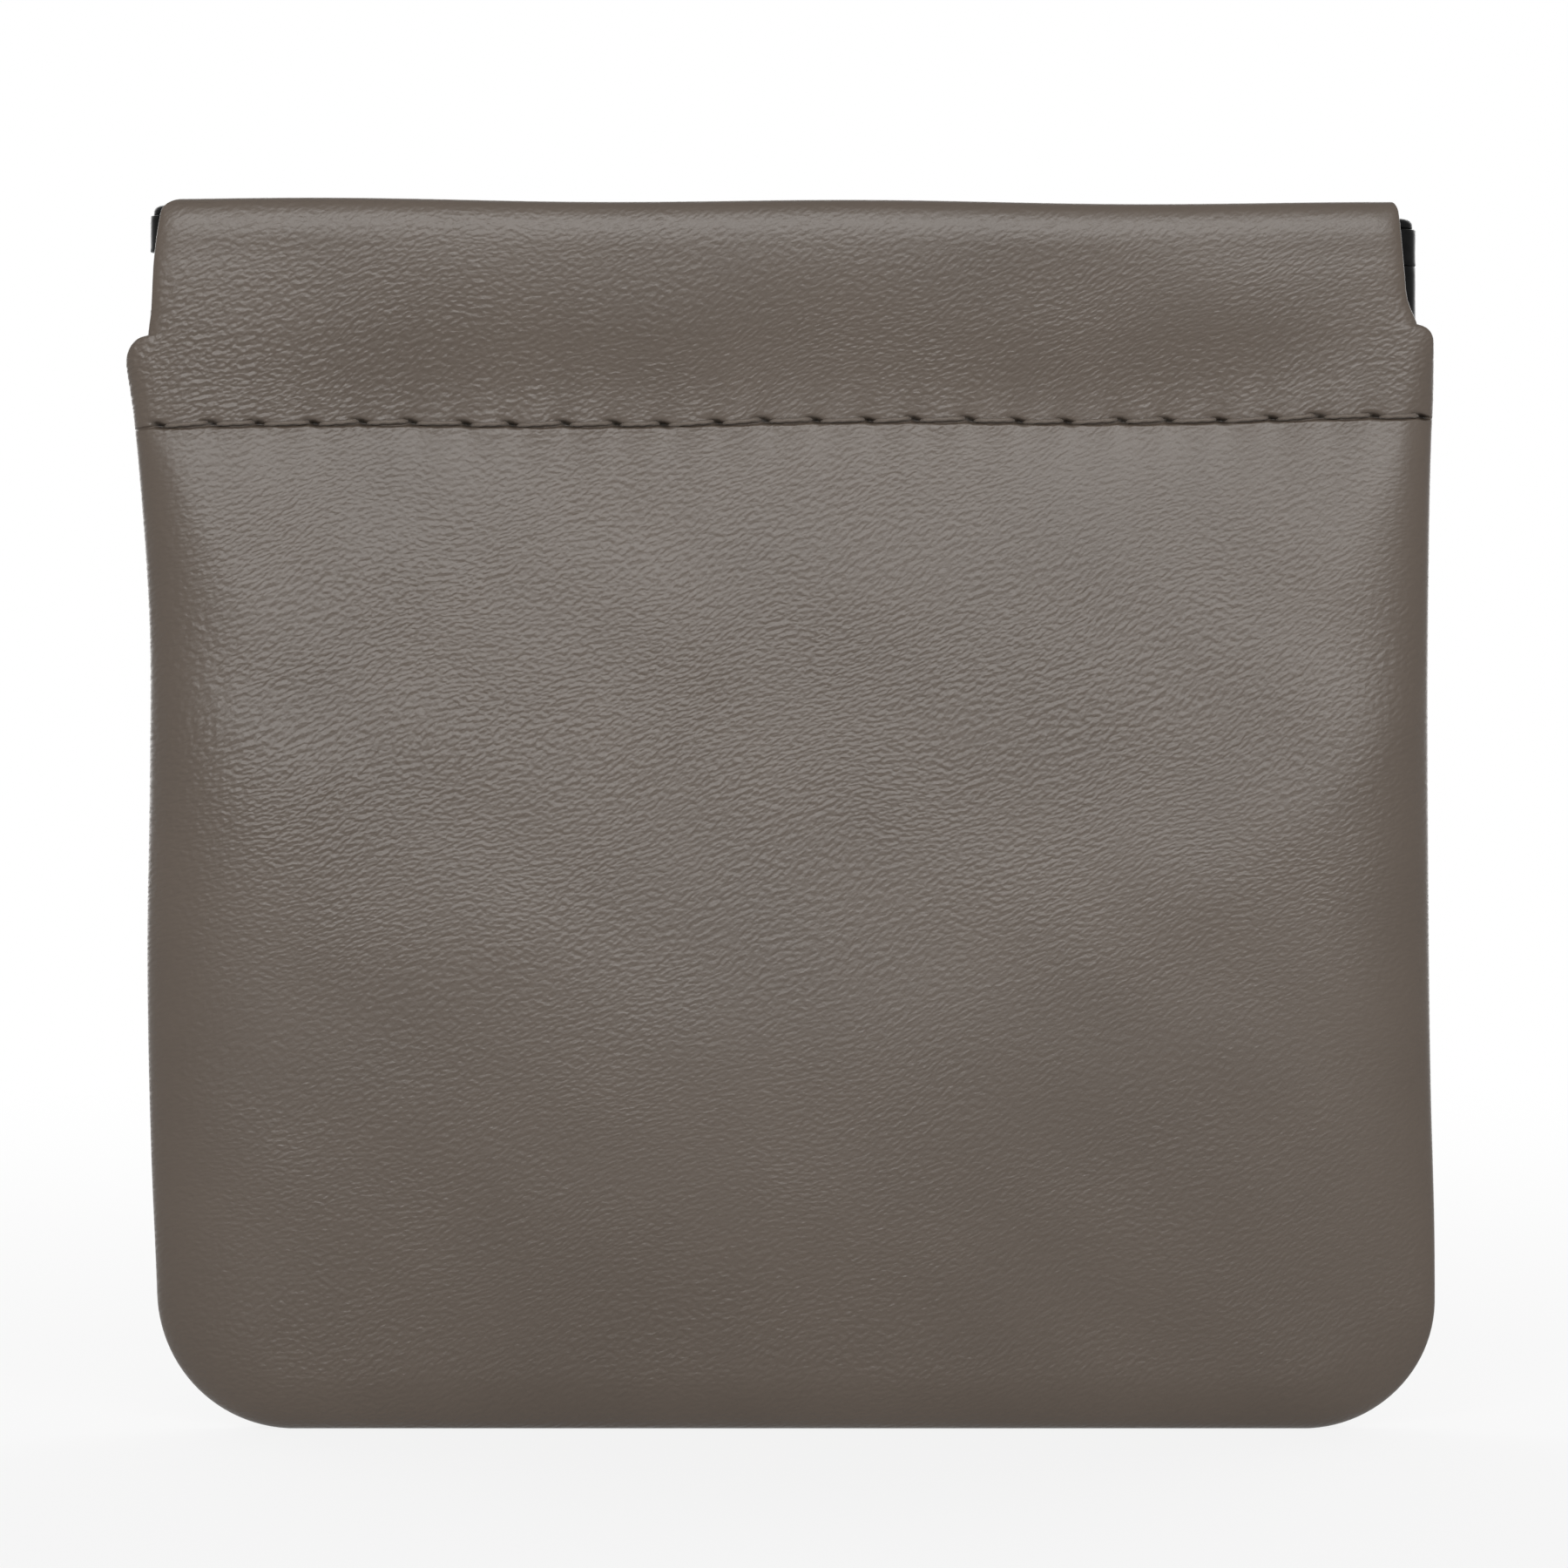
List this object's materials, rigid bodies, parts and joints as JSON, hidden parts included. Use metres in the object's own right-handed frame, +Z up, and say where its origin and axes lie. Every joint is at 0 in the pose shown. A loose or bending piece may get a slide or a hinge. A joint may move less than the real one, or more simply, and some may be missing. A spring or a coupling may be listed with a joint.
{
  "type": "squeeze-top cosmetic pouch",
  "caption": "Small flat leatherette pouch with rounded bottom corners and a stitched hem casing over a hinged spring frame that opens when its ends are squeezed and snaps shut.",
  "frame": {"origin": "middle of the standing edge, on the surface that the pouch stands on", "axes": "+X along the mouth to the right as seen from the front, +Y from the front wall to the back wall, +Z up from the bottom seam to the mouth"},
  "size_m": [0.1006, 0.0088, 0.0946],
  "materials": {
    "taupe_leatherette": "satin, fine wrinkled grain",
    "sewing_thread": "matte",
    "black_spring_steel": "semi-gloss black"
  },
  "bodies": {
    "bottom": {"bottom_seam": "taupe_leatherette", "bottom_seam_thread": "sewing_thread"},
    "front_left": {"front_panel_left": "taupe_leatherette", "front_spring_left": "black_spring_steel", "front_hem_thread_left": "sewing_thread", "left_hinge_pin": "black_spring_steel", "left_seam_thread": "sewing_thread"},
    "front_center": {"front_panel_center": "taupe_leatherette", "front_spring_center": "black_spring_steel", "front_hem_thread_center": "sewing_thread"},
    "front_right": {"front_panel_right": "taupe_leatherette", "front_spring_right": "black_spring_steel", "front_hem_thread_right": "sewing_thread", "right_hinge_pin": "black_spring_steel", "right_seam_thread": "sewing_thread"},
    "back_left": {"back_panel_left": "taupe_leatherette", "back_spring_left": "black_spring_steel", "back_hem_thread_left": "sewing_thread"},
    "back_center": {"back_panel_center": "taupe_leatherette", "back_spring_center": "black_spring_steel", "back_hem_thread_center": "sewing_thread"},
    "back_right": {"back_panel_right": "taupe_leatherette", "back_spring_right": "black_spring_steel", "back_hem_thread_right": "sewing_thread"}
  },
  "joints": [
    {"name": "mouth_open", "type": "hinge", "parent": "bottom", "child": "front_center", "pos_m": [0, 0, 0.0025], "axis": [1, 0, 0], "range_deg": [0, 10], "stiffness_Nm_per_rad": 1.5},
    {"name": "back_wall_swing", "type": "hinge", "parent": "bottom", "child": "back_center", "pos_m": [0, 0, 0.0025], "axis": [-1, 0, 0], "range_deg": [0, 10]},
    {"name": "front_left_flex", "type": "hinge", "parent": "front_center", "child": "front_left", "pos_m": [-0.04735, 0, 0.0025], "axis": [-0.3495, 0, -0.937], "range_deg": [0, 29.52]},
    {"name": "front_right_flex", "type": "hinge", "parent": "front_center", "child": "front_right", "pos_m": [0.04735, 0, 0.0025], "axis": [-0.3495, 0, 0.937], "range_deg": [0, 29.52]},
    {"name": "back_left_flex", "type": "hinge", "parent": "back_center", "child": "back_left", "pos_m": [-0.04735, 0, 0.0025], "axis": [0.3495, 0, 0.937], "range_deg": [0, 29.52]},
    {"name": "back_right_flex", "type": "hinge", "parent": "back_center", "child": "back_right", "pos_m": [0.04735, 0, 0.0025], "axis": [0.3495, 0, -0.937], "range_deg": [0, 29.52]}
  ],
  "couplings": [
    {"joint": "back_wall_swing", "follows": "mouth_open", "ratio": 1},
    {"joint": "front_left_flex", "follows": "mouth_open", "ratio": 2.947},
    {"joint": "front_right_flex", "follows": "mouth_open", "ratio": 2.947},
    {"joint": "back_left_flex", "follows": "mouth_open", "ratio": 2.947},
    {"joint": "back_right_flex", "follows": "mouth_open", "ratio": 2.947}
  ]
}
